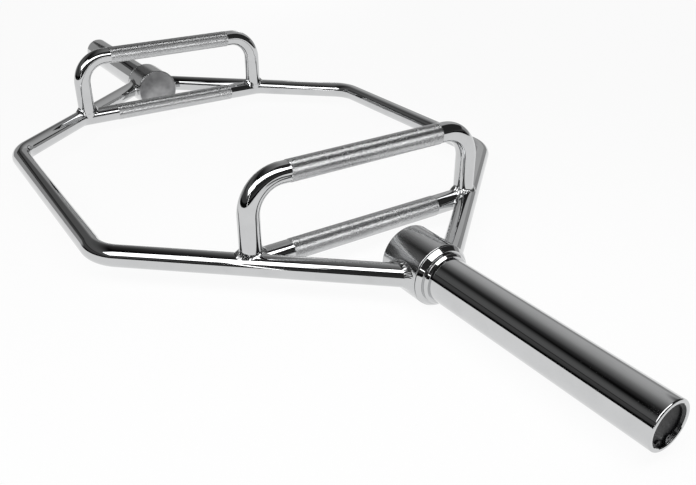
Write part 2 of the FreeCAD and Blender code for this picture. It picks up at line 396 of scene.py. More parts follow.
def chrome_surface(name, grain=0.0, grit=1500.0, lift=0.0, wave=0.03, faced=False):
    """Polished chrome plate with faint haze, dull specks and a slightly uneven surface."""
    finish = settings().finish
    material, tree, shader, place = new_surface(name)
    haze = pattern(tree, place, "haze")
    clean = finish.chrome_rough
    rough = maths(tree, "MULTIPLY_ADD", haze, finish.haze_rough - clean, clean + lift)
    rough = maths(tree, "MULTIPLY_ADD", pattern(tree, place, "specks"), finish.speck_rough, rough)
    tint = mixed(tree, haze, rgba(finish.chrome), rgba(finish.chrome_haze))
    # Faces square to the sleeve axis get a satin finish: a rougher surface, and a darker colour in patches
    # that is painted shade darkening their reflection.
    if faced:
        normal = tree.nodes.new("ShaderNodeNewGeometry").outputs["True Normal"]
        face = remap(tree, maths(tree, "ABSOLUTE", split(tree, normal)[0]), *FACE_TILT)
        satin = mixed(tree, pattern(tree, place, "shading"), rgba(finish.face_shade), rgba(finish.face))
        tint = mixed(tree, face, tint, satin)
        rough = maths(tree, "MULTIPLY_ADD", face, finish.face_rough, rough)
    swell = maths(tree, "MULTIPLY", noise(tree, place, scale=38.0), wave)
    height = maths(tree, "MULTIPLY_ADD", noise(tree, place, grit), grain, swell)
    dress(tree, shader, tint, rough, height, strength=0.35, distance=0.002, metallic=1.0)
    return material


def chrome():
    """Chrome of the smooth tubes, sleeves and collars."""
    return kept("chrome_plate", chrome_surface)


def knurl_chrome():
    """Chrome of the knurled bands, duller and uneven."""
    return kept("chrome_knurl", chrome_surface, grain=0.3, grit=650.0, lift=0.21)


def turned_chrome():
    """Chrome over the turned hubs, a little softer than the tubes, and satin on their faces with a darker
    colour that is painted shade.
    """
    return kept("chrome_turned", chrome_surface, grain=0.004, lift=0.09, faced=True)


def weld_chrome():
    """Chrome over the weld beads, pitted and uneven."""
    return kept("chrome_weld", chrome_surface, grain=0.03, lift=0.02, wave=0.05)


def disc_surface(name):
    """Satin black plastic with a fine moulded grain and faint rub marks."""
    black = settings().finish.black
    material, tree, shader, place = new_surface(name)
    tint = mixed(tree, pattern(tree, place, "cloud"), rgba(black), toned(black, times=2.2))
    rough = remap(tree, pattern(tree, place, "rub"), 0.0, 1.0, new_low=0.30, new_high=0.46)
    grain = noise(tree, place, scale=2600.0)
    dress(tree, shader, tint, rough, grain, strength=0.12, distance=0.0004, metallic=0.0)
    shader.inputs["IOR"].default_value = 1.5
    shader.inputs["Specular IOR Level"].default_value = 0.12
    return material


def blackened_steel(name):
    """Blackened spring steel, dull with lighter rubbed spots."""
    ring = settings().finish.ring
    material, tree, shader, place = new_surface(name)
    patina = pattern(tree, place, "patina")
    tint = mixed(tree, patina, rgba(ring), toned(ring, times=1.7))
    rough = remap(tree, patina, 0.0, 1.0, new_low=0.42, new_high=0.28)
    grain = noise(tree, place, scale=1800.0, detail=3.0)
    dress(tree, shader, tint, rough, grain, strength=0.08, distance=0.0003, metallic=0.7)
    return material


def machined(name, tint):
    """Machined metal with turning marks across the sleeve axis."""
    material, tree, shader, place = new_surface(name)
    fine = flow(tree, "ShaderNodeMapping", {"Vector": place, "Scale": TURNING_MARKS})
    marks = noise(tree, fine, scale=1.0)
    rough = remap(tree, marks, 0.3, 0.7, new_low=0.2, new_high=0.36)
    tone = mixed(tree, marks, rgba(tint), toned(tint, times=0.8))
    dress(tree, shader, tone, rough, marks, strength=0.15, distance=0.0003, metallic=1.0)
    return material


# Meshes

SHARP_EDGE = math.radians(32)
ROUND_STEPS = 8
SEAM_POINTS = 240


def placed(piece, body, slot, *nodes):
    """Let a piece ride on a body and stand for CAD nodes, which it hides. The slot is not used."""
    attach(piece, body)
    if nodes:
        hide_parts(*nodes)


def linked(name, mesh):
    """New object in the scene that holds the mesh."""
    piece = bpy.data.objects.new(name, mesh)
    bpy.context.scene.collection.objects.link(piece)
    return piece


def face_outwards(mesh):
    """Turn the faces of a closed mesh outwards."""
    edit = bmesh.new()
    edit.from_mesh(mesh)
    bmesh.ops.recalc_face_normals(edit, faces=edit.faces[:])
    edit.to_mesh(mesh)
    edit.free()


def shell(name, points, faces, material):
    """Smooth closed piece with its faces turned outwards."""
    mesh = bpy.data.meshes.new(name)
    mesh.from_pydata(points, [], faces)
    face_outwards(mesh)
    mesh.shade_smooth()
    mesh.set_sharp_from_angle(angle=SHARP_EDGE)
    mesh.materials.append(material)
    return linked(name, mesh)


def turns(count):
    """Even angles round a full turn."""
    return [2 * math.pi * k / count for k in range(count)]


def corner_frame(before, corner, after):
    """Directions from a corner to its neighbours, and half the angle between them."""
    back = (before - corner).normalized()
    ahead = (after - corner).normalized()
    return back, ahead, back.angle(ahead) / 2


def rounded_section(points, hold):
    """Section whose corners are rounded by their third number, with a holding point beside each round."""
    made = []
    for i, (x, r, size) in enumerate(points):
        if size <= 0:
            made.append((x, r))
            continue
        corner = Vector((x, r))
        after = points[(i + 1) % len(points)]
        back, ahead, half = corner_frame(Vector(points[i - 1][:2]), corner, Vector(after[:2]))
        reach = size / math.tan(half)
        centre = corner + (back + ahead).normalized() * (size / math.sin(half))
        first, last = corner + back * reach, corner + ahead * reach
        sweep = (first - centre).angle_signed(last - centre)
        made.append(tuple(first + back * hold))
        for k in range(ROUND_STEPS + 1):
            turn = Matrix.Rotation(-sweep * k / ROUND_STEPS, 2)
            made.append(tuple(centre + turn @ (first - centre)))
        made.append(tuple(last + ahead * hold))
    return made


def bridge(rings):
    """Faces from ring to ring of points, some of which may be single points."""
    faces = []
    for first, second in zip(rings, rings[1:]):
        around = max(len(first), len(second))
        for k in range(around):
            n = (k + 1) % around
            if len(first) == 1:
                faces.append([first[0], second[k], second[n]])
            elif len(second) == 1:
                faces.append([first[k], second[0], first[n]])
            else:
                faces.append([first[k], second[k], second[n], first[n]])
    return faces


def turned(section, side, around):
    """Points and faces of a section of (x, radius) points turned about the sleeve axis."""
    height = settings().tubes.axis_z
    points, rings = [], []
    for x, r in section:
        start = len(points)
        if r < NEAR:
            points.append((side * x, 0.0, height))
        else:
            points += [(side * x, r * math.sin(a), height + r * math.cos(a)) for a in turns(around)]
        rings.append(range(start, len(points)))
    if len(rings[0]) > 1 and len(rings[-1]) > 1:
        rings.append(rings[0])
    return points, bridge(rings)


def turned_pieces(kind, section, material, body):
    """The right and left piece of a turned section, on a body whose name may hold the side."""
    for name, side in SIDES.items():
        points, faces = turned(section, side, settings().sleeve.around)
        piece = shell(f"{name}_{kind}_body", points, faces, material)
        placed(piece, body.format(name), "chrome", f"{name}_{kind}")


def bent_line(corners, bend):
    """Points and directions along a line whose corners are bent to a radius."""
    t = settings().tubes
    corners = [Vector(corner) for corner in corners]
    stops = [(corners[0], None)]
    for before, corner, after in zip(corners, corners[1:], corners[2:]):
        back, ahead, half = corner_frame(before, corner, after)
        centre = corner + (back + ahead).normalized() * (bend / math.sin(half))
        stops.append((corner + back * bend / math.tan(half), centre))
        stops.append((corner + ahead * bend / math.tan(half), None))
    stops.append((corners[-1], None))
    places = []
    for (first, centre), (last, _) in zip(stops, stops[1:]):
        if centre is None:
            count = max(2, math.ceil((last - first).length / t.run_step))
            places += [first.lerp(last, k / count) for k in range(count)]
        else:
            out, end = first - centre, last - centre
            count = math.ceil(out.angle(end) / t.arc_step)
            axis = out.cross(end).normalized()
            steps = [Matrix.Rotation(out.angle(end) * k / count, 3, axis) for k in range(count)]
            places += [centre + step @ out for step in steps]
    places.append(corners[-1])
    ways = [(b - a).normalized() for a, b in zip(places, places[1:])]
    heads = [ways[0]] + [(a + b).normalized() for a, b in zip(ways, ways[1:])] + [ways[-1]]
    return places, heads


def swept(places, heads, up, radii, around):
    """Points and faces of a round bar along a line that lies flat against the direction up."""
    points = []
    for place, head, radius in zip(places, heads, radii):
        side = head.cross(up).normalized()
        points += [place + (up * math.cos(a) + side * math.sin(a)) * radius for a in turns(around)]
    rings = [range(start, start + around) for start in range(0, len(points), around)]
    return points, bridge(rings) + [list(rings[0]), list(rings[-1])]


def band_radii(places, radius):
    """Tube radius at each place, raised to the floor of the knurling inside the band."""
    knurl = settings().knurl
    floor = radius + knurl.rise - knurl.depth
    return [floor if abs(p.y) <= knurl.half_length - knurl.run_out / 2 else radius for p in places]


def with_band_edges(places, heads, height):
    """The line with extra places at the sloped ends of the knurled band."""
    knurl = settings().knurl
    half, slope = knurl.half_length, knurl.run_out
    extra = [sign * (half + step) for sign in (-1, 1) for step in (-2 * slope, -slope, 0.0, slope)]
    spots = list(zip(places, heads))
    level = [i for i, p in enumerate(places) if abs(p.z - height) < NEAR]
    x = places[level[0]].x
    run = [spots[i] for i in level]
    run += [(Vector((x, y, height)), Vector((0, 1, 0))) for y in extra]
    run.sort(key=lambda spot: spot[0].y)
    both = spots[: level[0]] + run + spots[level[-1] + 1:]
    return [p for p, _ in both], [h for _, h in both]


def tube_piece(name, node, corners, bend, up, radius, band_z=None):
    """Chromed tube along a bent line, with the floor of a knurled band where it has one."""
    places, heads = bent_line(corners, bend)
    radii = [radius] * len(places)
    if band_z is not None:
        places, heads = with_band_edges(places, heads, band_z)
        radii = band_radii(places, radius)
    points, faces = swept(places, heads, up, radii, settings().tubes.around)
    placed(shell(name, points, faces, chrome()), "frame", "chrome", node)


def rail_corners(side):
    """Centreline of one rail from hub to hub, side -1 in front and +1 behind."""
    t = settings().tubes
    end_x = t.apex_x + (t.corner_x - t.apex_x) * t.rail_end_y / t.corner_y
    right = [(end_x, side * t.rail_end_y, t.axis_z), (t.corner_x, side * t.corner_y, t.axis_z)]
    return right + [(-x, y, z) for x, y, z in reversed(right)]


def grip_end():
    """Distance from the middle at which a grip meets the rail centreline."""
    t = settings().tubes
    return t.corner_y * (t.apex_x - t.grip_x) / (t.apex_x - t.corner_x)


# Geometry Nodes

# Settings that a tree takes as inputs of the same name
KNURL_SIZES = ("depth", "row_pitch")
BEAD_SIZES = (
    "hollow", "ripple_pitch", "ripple_share", "lump_share", "lump_scale",
    "smooth_z", "rough_z", "smooth_share", "sunk", "step",
)
# Part of a bead's outline that is its face, and depth of its root as a share of the leg
BEAD_FACE_SHARE = 0.72
BEAD_ROOT_SHARE = 0.2
# How far the lumps and the crown of a bead shift its ripples, in ripples
RIPPLE_DRIFT = 4.0
RIPPLE_LAG = 0.35


def new_tree(name, sizes, counts, spots=()):
    """Empty geometry tree with a geometry output and the named inputs."""
    tree = bpy.data.node_groups.new(name, "GeometryNodeTree")
    numbers = {"Vector": spots, "Float": sizes, "Int": counts}
    kinds = {"Geometry": ("Geometry",), **numbers, "Material": ("Material",)}
    for kind, labels in kinds.items():
        for label in labels:
            tree.interface.new_socket(name=label, in_out="INPUT", socket_type="NodeSocket" + kind)
    tree.interface.new_socket(name="Geometry", in_out="OUTPUT", socket_type="NodeSocketGeometry")
    return tree, tree.nodes.new("NodeGroupInput").outputs


def close_tree(tree, geometry, material):
    """Ends a tree in realized instances with their material."""
    real = flow(tree, "GeometryNodeRealizeInstances", {"Geometry": geometry})
    done = flow(tree, "GeometryNodeSetMaterial", {"Geometry": real, "Material": material})
    add_node(tree, "NodeGroupOutput", {"Geometry": done})


def knurl_tree(name):
    """Tree that sets rows of pointed diamonds round a straight tube along Y."""
    tree, given = new_tree(name, ("floor_radius", *KNURL_SIZES), ("columns", "rows"), ("centre",))
    columns, rows, pitch, radius = (given[key] for key in ("columns", "rows", "row_pitch", "floor_radius"))
    total = maths(tree, "MULTIPLY", columns, rows)
    line = flow(tree, "GeometryNodeMeshLine", {"Count": total})
    index = flow(tree, "GeometryNodeInputIndex")
    row = maths(tree, "FLOOR", maths(tree, "DIVIDE", maths(tree, "ADD", index, 0.5), columns))
    column = maths(tree, "SUBTRACT", index, maths(tree, "MULTIPLY", row, columns))
    stagger = maths(tree, "MULTIPLY", maths(tree, "MODULO", row, 2.0), 0.5)
    step = maths(tree, "DIVIDE", 2 * math.pi, columns)
    around = maths(tree, "MULTIPLY", maths(tree, "ADD", column, stagger), step)
    middle = maths(tree, "MULTIPLY", maths(tree, "SUBTRACT", rows, 1.0), 0.5)
    along = maths(tree, "MULTIPLY", maths(tree, "SUBTRACT", row, middle), pitch)
    across = maths(tree, "MULTIPLY", maths(tree, "SINE", around), radius)
    over = maths(tree, "MULTIPLY", maths(tree, "COSINE", around), radius)
    spot = vectors(tree, "ADD", joined(tree, across, along, over), given["centre"])
    spots = flow(tree, "GeometryNodeSetPosition", {"Geometry": line, "Position": spot})
    lean = flow(tree, "FunctionNodeEulerToRotation", {0: joined(tree, 0.0, around)})
    wide = maths(tree, "MULTIPLY", maths(tree, "MULTIPLY", step, 0.5), radius)
    diamond = flow(tree, "GeometryNodeMeshCone", {
        "Vertices": 4, "Radius Top": 0.0, "Radius Bottom": 1.0, "Depth": given["depth"],
    })
    set_out = flow(tree, "GeometryNodeInstanceOnPoints", {
        "Points": spots, "Instance": diamond, "Rotation": lean, "Scale": joined(tree, wide, pitch, 1.0),
    })
    places = {"Geometry": set_out, "Shade Smooth": False}
    flat = flow(tree, "GeometryNodeSetShadeSmooth", places)
    close_tree(tree, flat, given["Material"])
    return tree


def bead_tree(name):
    """Tree that lays a rippled, hollow-faced bead along closed seams, from toe to toe."""
    tree, given = new_tree(name, ("leg", *BEAD_SIZES), ("around", "seed"))

    def named(label, kind):
        return flow(tree, "GeometryNodeInputNamedAttribute", {"Name": label}, data_type=kind)

    def stored(geometry, label, kind, value):
        places = {"Geometry": geometry, "Name": label, "Value": value}
        return flow(tree, "GeometryNodeStoreNamedAttribute", places, data_type=kind)

    parameter = tree.nodes.new("GeometryNodeSplineParameter").outputs
    seam = flow(tree, "GeometryNodeMeshToCurve", {"Mesh": given["Geometry"]})
    places = {"Curve": seam, "Length": given["step"]}
    seam = flow(tree, "GeometryNodeResampleCurve", places, mode="LENGTH")
    seam = stored(seam, "place", "FLOAT_VECTOR", flow(tree, "GeometryNodeInputPosition"))
    seam = stored(seam, "run", "FLOAT", parameter["Length"])
    ring = flow(tree, "GeometryNodeCurvePrimitiveCircle", {"Resolution": given["around"]})
    ring = stored(ring, "turn", "FLOAT", parameter["Factor"])
    bead = flow(tree, "GeometryNodeCurveToMesh", {"Curve": seam, "Profile Curve": ring})

    place, turn = named("place", "FLOAT_VECTOR"), named("turn", "FLOAT")
    toes = [named("first_toe", "FLOAT_VECTOR"), named("second_toe", "FLOAT_VECTOR")]
    out = vectors(tree, "NORMALIZE", vectors(tree, "ADD", *toes))
    face = remap(tree, turn, 0.0, BEAD_FACE_SHARE)
    back = remap(tree, turn, BEAD_FACE_SHARE, 1.0, -1.0, 1.0)
    inside = maths(tree, "SUBTRACT", 1.0, maths(tree, "ABSOLUTE", back))
    inside = maths(tree, "MULTIPLY", inside, -BEAD_ROOT_SHARE)
    behind = maths(tree, "GREATER_THAN", turn, BEAD_FACE_SHARE)
    arc = maths(tree, "MULTIPLY", face, math.pi / 2)
    shares = []
    for line, bend, sign in (
        (maths(tree, "SUBTRACT", 1.0, face), maths(tree, "SINE", arc), 1.0),
        (face, maths(tree, "COSINE", arc), -1.0),
    ):
        bend = maths(tree, "SUBTRACT", 1.0, bend)
        front = maths(tree, "MULTIPLY_ADD", maths(tree, "SUBTRACT", bend, line), given["hollow"], line)
        rear = maths(tree, "ADD", maths(tree, "MAXIMUM", maths(tree, "MULTIPLY", back, sign), 0.0), inside)
        swap = maths(tree, "SUBTRACT", rear, front)
        shares.append(maths(tree, "MULTIPLY_ADD", swap, behind, front))

    lumps = flow(tree, "ShaderNodeTexNoise", {
        "Vector": place, "W": given["seed"], "Scale": given["lump_scale"], "Detail": 1.0,
    }, noise_dimensions="4D")
    lumps = maths(tree, "SUBTRACT", lumps, 0.5)
    crown = maths(tree, "SINE", maths(tree, "MULTIPLY", face, math.pi))
    drift = maths(tree, "MULTIPLY_ADD", lumps, RIPPLE_DRIFT, maths(tree, "MULTIPLY", crown, RIPPLE_LAG))
    beat = maths(tree, "DIVIDE", named("run", "FLOAT"), given["ripple_pitch"])
    beat = maths(tree, "MULTIPLY", maths(tree, "ADD", beat, drift), 2 * math.pi)
    ripple = maths(tree, "MULTIPLY", maths(tree, "SINE", beat), given["ripple_share"])
    height = maths(tree, "MULTIPLY_ADD", lumps, maths(tree, "MULTIPLY", given["lump_share"], 2.0), ripple)
    level = split(tree, place)[2]
    uneven = remap(tree, level, given["smooth_z"], given["rough_z"], given["smooth_share"])
    height = maths(tree, "MULTIPLY", maths(tree, "MULTIPLY", height, uneven), crown)
    height = maths(tree, "MULTIPLY", height, given["leg"])
    height = maths(tree, "SUBTRACT", height, given["sunk"])
    spot = vectors(tree, "ADD", place, scaled(tree, out, height))
    for toe, part in zip(toes, shares):
        spot = vectors(tree, "ADD", spot, scaled(tree, toe, part))
    bead = flow(tree, "GeometryNodeSetPosition", {"Geometry": bead, "Position": spot})
    smooth = flow(tree, "GeometryNodeSetShadeSmooth", {"Geometry": bead})
    close_tree(tree, smooth, given["Material"])
    return tree


def kept_tree(name, maker):
    """Geometry tree of that name, made once."""
    return bpy.data.node_groups.get(name) or maker(name)


def grown(name, source, tree, values):
    """Plain mesh piece that a geometry tree makes from a source mesh."""
    seedling = linked(name + "_source", source)
    modifier = seedling.modifiers.new(name, "NODES")
    modifier.node_group = tree
    for item in tree.interface.items_tree:
        if item.in_out == "INPUT" and item.name in values:
            modifier[item.identifier] = values[item.name]
    graph = bpy.context.evaluated_depsgraph_get()
    mesh = bpy.data.meshes.new_from_object(seedling.evaluated_get(graph))
    seedling.modifiers.clear()
    bpy.data.objects.remove(seedling)
    if not mesh.polygons:
        raise RuntimeError(name + " came out empty")
    face_outwards(mesh)
    mesh.name = name
    return linked(name, mesh)


# Weld seams


def seam_mesh(seams):
    """Mesh of closed seams, whose points carry the way to both toes of the bead."""
    points, edges, toes = [], [], ([], [])
    for seam, *ends in seams:
        base = len(points)
        points += [tuple(p) for p in seam]
        edges += [(base + i, base + (i + 1) % len(seam)) for i in range(len(seam))]
        for toe, end in zip(toes, ends):
            toe += [q - p for p, q in zip(seam, end)]
    mesh = bpy.data.meshes.new("seam")
    mesh.from_pydata(points, edges, [])
    for label, toe in zip(("first_toe", "second_toe"), toes):
        carried = mesh.attributes.new(label, "FLOAT_VECTOR", "POINT")
        carried.data.foreach_set("vector", np.array(toe).ravel())
    return mesh


def leg_frame(side):
    """Start, direction and flat normal of the right leg of a rail."""
    t = settings().tubes
    start = np.array([t.apex_x, 0.0, t.axis_z])
    way = np.array([t.corner_x - t.apex_x, side * t.corner_y, 0.0])
    way /= np.linalg.norm(way)
    normal = np.array([side * way[1], -side * way[0], 0.0])
    return start, way, normal


def hub_seam(side, off_rail, off_hub):
    """Seam between a rail leg and the right hub, at distances from both surfaces."""
    t, hub = settings().tubes, settings().hub
    start, way, normal = leg_frame(side)
    loop = []
    for a in turns(SEAM_POINTS):
        out = np.array(UP) * math.cos(a) + normal * math.sin(a)
        rim = start + out * (t.rail_radius + off_rail)
        reach = math.sqrt((hub.radius + off_hub) ** 2 - (rim[2] - t.axis_z) ** 2)
        loop.append(rim + way * (side * reach - rim[1]) / way[1])
    return loop


def grip_seam(side, off_grip, off_rail):
    """Seam between the right lower grip and a rail leg."""
    t = settings().tubes
    start, _, normal = leg_frame(side)
    radius, rail = t.grip_radius + off_grip, t.rail_radius + off_rail
    loop = []
    for a in turns(SEAM_POINTS):
        x, z = t.grip_x + radius * math.sin(a), radius * math.cos(a)
        z = max(-rail, min(rail, z))
        y = (-math.sqrt(rail ** 2 - z ** 2) - (x - start[0]) * normal[0]) / normal[1]
        loop.append(np.array([x, y, t.axis_z + z]))
    return loop


def foot_seam(side, off_riser, off_seat):
    """Seam round the foot of a riser, over the grip and the rail that carry it."""
    t = settings().tubes
    start, _, normal = leg_frame(side)
    side_share = settings().weld.side_share
    loop = []
    for a in turns(SEAM_POINTS):
        width = side_share + (1 - side_share) * math.cos(a) ** 2
        radius, seat = t.handle_radius + width * off_riser, width * off_seat
        grip, rail = t.grip_radius + seat, t.rail_radius + seat
        x = t.grip_x + radius * math.sin(a)
        y = side * t.riser_y + radius * math.cos(a)
        from_rail = (x - start[0]) * normal[0] + (y - start[1]) * normal[1]
        on_rail = rail ** 2 - from_rail ** 2
        on_grip = grip ** 2 - (x - t.grip_x) ** 2 if side * y < grip_end() else 0.0
        if max(on_grip, on_rail) < 0:
            x = t.grip_x + math.copysign(grip, x - t.grip_x)
        loop.append(np.array([x, y, t.axis_z + math.sqrt(max(on_grip, on_rail, 0.0))]))
    return loop


def flipped(loops, sign):
    """Loops of the right side, or their mirror image on the left."""
    return [[p * np.array([sign, 1, 1]) for p in loop] for loop in loops]


# Operators


class TRAPBAR_OT_rails(bpy.types.Operator):
    """Build the front and back rails of the hexagon"""

    bl_idname = "trapbar.rails"
    bl_label = "Rails"

    def execute(self, context):
        t = settings().tubes
        for name, side in (("front_rail", -1), ("back_rail", 1)):
            tube_piece(name + "_tube", name, rail_corners(side), t.rail_bend, UP, t.rail_radius)
        return {"FINISHED"}


class TRAPBAR_OT_hubs(bpy.types.Operator):
    """Turn the two hubs"""

    bl_idname = "trapbar.hubs"
    bl_label = "Hubs"

    def execute(self, context):
        hub = settings().hub
        section = rounded_section([
            (hub.inner_x, 0.0, 0.0),
            (hub.inner_x, hub.radius, hub.inner_round),
            (hub.outer_x, hub.radius, hub.outer_round),
            (hub.outer_x, hub.bore_radius, 0.0),
            (hub.bore_x, hub.bore_radius, 0.0),
            (hub.bore_x, 0.0, 0.0),
        ], hub.hold)
        turned_pieces("hub", section, turned_chrome(), "frame")
        return {"FINISHED"}


class TRAPBAR_OT_grips(bpy.types.Operator):
    """Build the lower grips between the rails"""

    bl_idname = "trapbar.grips"
    bl_label = "Lower grips"

    def execute(self, context):
        t = settings().tubes
        for name, side in SIDES.items():
            ends = [(side * t.grip_x, y, t.axis_z) for y in (-grip_end(), grip_end())]
            tube_piece(name + "_grip_tube", name + "_lower_grip", ends, 0.0, UP, t.grip_radius, t.axis_z)
        return {"FINISHED"}


class TRAPBAR_OT_handles(bpy.types.Operator):
    """Bend the raised handles"""

    bl_idname = "trapbar.handles"
    bl_label = "Raised handles"

    def execute(self, context):
        t = settings().tubes
        top = t.axis_z + t.handle_rise
        flat = Vector((1, 0, 0))
        for name, side in SIDES.items():
            line = ((-t.riser_y, t.axis_z), (-t.riser_y, top), (t.riser_y, top), (t.riser_y, t.axis_z))
            corners = [(side * t.grip_x, y, z) for y, z in line]
            node = name + "_upper_handle"
            tube_piece(name + "_handle_tube", node, corners, t.handle_bend, flat, t.handle_radius, top)
        return {"FINISHED"}


class TRAPBAR_OT_knurling(bpy.types.Operator):
    """Roll the diamond knurling onto the grips and handles"""

    bl_idname = "trapbar.knurling"
    bl_label = "Knurling"

    def execute(self, context):
        t, k = settings().tubes, settings().knurl
        tree = kept_tree("knurl_diamonds", knurl_tree)
        rows = int((k.half_length - k.run_out - k.row_pitch) * 2 / k.row_pitch) + 1
        sizes = {key: getattr(k, key) for key in ("columns", *KNURL_SIZES)}
        levels = (("grip", t.axis_z, t.grip_radius), ("handle", t.axis_z + t.handle_rise, t.handle_radius))
        for name, side in SIDES.items():
            for level, height, radius in levels:
                piece = grown(f"{name}_{level}_knurl", bpy.data.meshes.new("knurl_source"), tree, {
                    **sizes,
                    "centre": (side * t.grip_x, 0.0, height),
                    "floor_radius": radius + k.rise - k.depth,
                    "rows": rows,
                    "Material": knurl_chrome(),
                })
                placed(piece, "frame", "chrome")
        return {"FINISHED"}


class TRAPBAR_OT_welds(bpy.types.Operator):
    """Lay the weld beads at the hubs, handle feet and grip ends"""

    bl_idname = "trapbar.welds"
    bl_label = "Weld beads"

    def execute(self, context):
        w = settings().weld
        tree = kept_tree("weld_bead", bead_tree)
        sizes = {key: getattr(w, key) for key in ("around", *BEAD_SIZES)}
        groups = (
            ("hub_beads", "hub_welds", ((hub_seam, w.hub_leg),)),
            ("handle_beads", "handle_welds", ((foot_seam, w.foot_leg), (grip_seam, w.end_leg))),
        )
        for name, sign in SIDES.items():
            for group, node, seams in groups:
                for i, (seam, leg) in enumerate(seams):
                    edges = ((0.0, 0.0), (0.0, leg), (leg, 0.0))
                    loops = [flipped([seam(side, *edge) for edge in edges], sign) for side in (-1, 1)]
                    piece = grown(f"{name}_{group}_{i}", seam_mesh(loops), tree, {
                        **sizes,
                        "leg": leg,
                        "seed": w.seed + i,
                        "Material": weld_chrome(),
                    })
                    placed(piece, "frame", "weld", *([f"{name}_{node}"] if i == 0 else []))
        return {"FINISHED"}


class TRAPBAR_OT_sleeves(bpy.types.Operator):
    """Turn the rotating sleeves"""

    bl_idname = "trapbar.sleeves"
    bl_label = "Sleeves"

    def execute(self, context):
        s = settings().sleeve
        groove_end = s.recess_front_x + s.groove_width
        section = rounded_section([
            (s.start_x, s.bore, 0.0),
            (s.start_x, s.seat_radius, 0.0),
            (s.boss_end_x, s.seat_radius, 0.0),
            (s.boss_end_x, s.radius, 0.0),
            (s.end_x, s.radius, s.edge_round),
            (s.end_x, s.recess_radius + s.mouth_chamfer, s.lip_round),
            (s.end_x - s.mouth_chamfer, s.recess_radius, s.lip_round),
            (groove_end, s.recess_radius, 0.0),
            (groove_end, s.groove_radius, 0.0),
            (s.recess_front_x, s.groove_radius, 0.0),
            (s.recess_front_x, s.recess_radius, 0.0),
            (s.recess_floor_x, s.recess_radius, 0.0),
            (s.recess_floor_x, s.bore, 0.0),
        ], s.hold)
        turned_pieces("sleeve", section, chrome(), "{}_sleeve_group")
        return {"FINISHED"}


class TRAPBAR_OT_collars(bpy.types.Operator):
    """Turn the flanged collars"""

    bl_idname = "trapbar.collars"
    bl_label = "Collars"

    def execute(self, context):
        s = settings().sleeve
        section = rounded_section([
            (s.start_x, s.seat_radius, 0.0),
            (s.start_x, s.collar_radius, s.flange_round),
            (s.flange_end_x, s.flange_rim, s.flange_round),
            (s.flange_end_x, s.boss_radius, s.lip_round),
            (s.boss_taper_x, s.boss_radius, s.boss_round),
            (s.boss_end_x, s.boss_rim, s.flange_round),
            (s.boss_end_x, s.seat_radius, 0.0),
        ], s.hold)
        turned_pieces("collar", section, chrome(), "{}_sleeve_group")
        return {"FINISHED"}


class TRAPBAR_OT_finish(bpy.types.Operator):
    """Give the end discs, rings and running gear their finishes"""

    bl_idname = "trapbar.finish"
    bl_label = "Discs, rings and running gear"

    def execute(self, context):
        finish = settings().finish
        disc = kept("black_disc", disc_surface)
        ring = kept("blackened_ring", blackened_steel)
        steel = kept("ground_steel", machined, tint=finish.steel)
        bronze = kept("bearing_bronze", machined, tint=finish.bronze)
        looks = {
            "end_disc": disc, "end_ring": ring, "shaft_ring": ring, "stub_shaft": steel,
            "shaft_washer": steel, "inner_bush": bronze, "outer_bush": bronze,
        }
        for side in SIDES:
            for node, material in looks.items():
                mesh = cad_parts[f"{side}_{node}"].data
                mesh.materials.clear()
                mesh.materials.append(material)
        return {"FINISHED"}


# Studio, whose ramps are (place, grey) steps

# Light panel of the ceiling behind the bar, and dim panels in front of it
PANEL_SLANT = 0.2
PANEL_STEPS = (
    (-0.9, 0.004), (-0.45, 0.035), (0.0, 0.15), (0.25, 0.225), (0.7, 0.40), (1.1, 0.48), (1.9, 0.535),
)
FRONT_STEPS = (
    (-5.6, 0.07), (-4.9, 0.07), (-4.75, 0.018), (-4.4, 0.018),
    (-4.1, 0.11), (-2.6, 0.117), (-2.0, 0.09), (-1.25, 0.0),
)
# Slanted edge past which the ceiling is dark on the right
RIGHT_SLANT = 0.333
RIGHT_EDGE = (0.33, 0.40)
RIGHT_GREY = 0.03
# Direction of the light wall, and greys of the walls over that direction and over height
LIGHT_WALL_SIDE = (-0.866, 0.5)
LIGHT_WALL_STEPS = ((-1.0, 0.0), (0.12, 0.0), (0.25, 0.03), (0.42, 0.36), (1.0, 0.36))
DARK_WALL_STEPS = ((0.0, 0.004), (0.14, 0.004), (0.18, 0.06), (1.0, 0.06))
WALL_SEGMENTS = (64, 32)
CLIP = (0.01, 100.0)
# Place, width and depth, turn and tilt in degrees, and brightness of each soft box
SOFT_BOXES = {
    "front_box": ((0.56, -1.48, 1.17), (0.90, 1.15), (-16, 20), 1.0),
    "top_box": ((0.684, -0.148, 0.760), (0.33, 1.08), (-19.8, 22), 1.4),
    "strip_box": ((1.90, -2.47, 0.81), (1.55, 0.06), (-18, 68), 1.4),
    "back_box": ((-1.36, 0.95, 0.475), (0.20, 1.25), (53, 52), 0.9),
}


def seen(tree):
    """One for rays from the camera, from gloss and through glass."""
    path = tree.nodes.new("ShaderNodeLightPath").outputs
    both = maths(tree, "MAXIMUM", path["Is Camera Ray"], path["Is Glossy Ray"])
    return maths(tree, "MAXIMUM", both, path["Is Transmission Ray"])


def square(name, size, height):
    """Square mesh round the middle of the set."""
    half = size / 2
    mesh = bpy.data.meshes.new(name)
    corners = [(x * half, y * half, height) for x, y in ((-1, -1), (1, -1), (1, 1), (-1, 1))]
    mesh.from_pydata(corners, [], [(0, 1, 2, 3)])
    return mesh


def ramp(tree, value, steps):
    """Grey from a colour ramp over (place, grey) steps."""
    low, high = steps[0][0], steps[-1][0]
    made = add_node(tree, "ShaderNodeValToRGB", {0: remap(tree, value, low, high)})
    stops = made.color_ramp.elements
    while len(stops) < len(steps):
        stops.new(0.5)
    for stop, (where, grey) in zip(stops, steps):
        stop.position = (where - low) / (high - low)
        stop.color = (grey, grey, grey, 1)
    return made.outputs[0]


def glow(tree, strength):
    """White light of a surface."""
    return flow(tree, "ShaderNodeEmission", {"Color": WHITE, "Strength": strength})


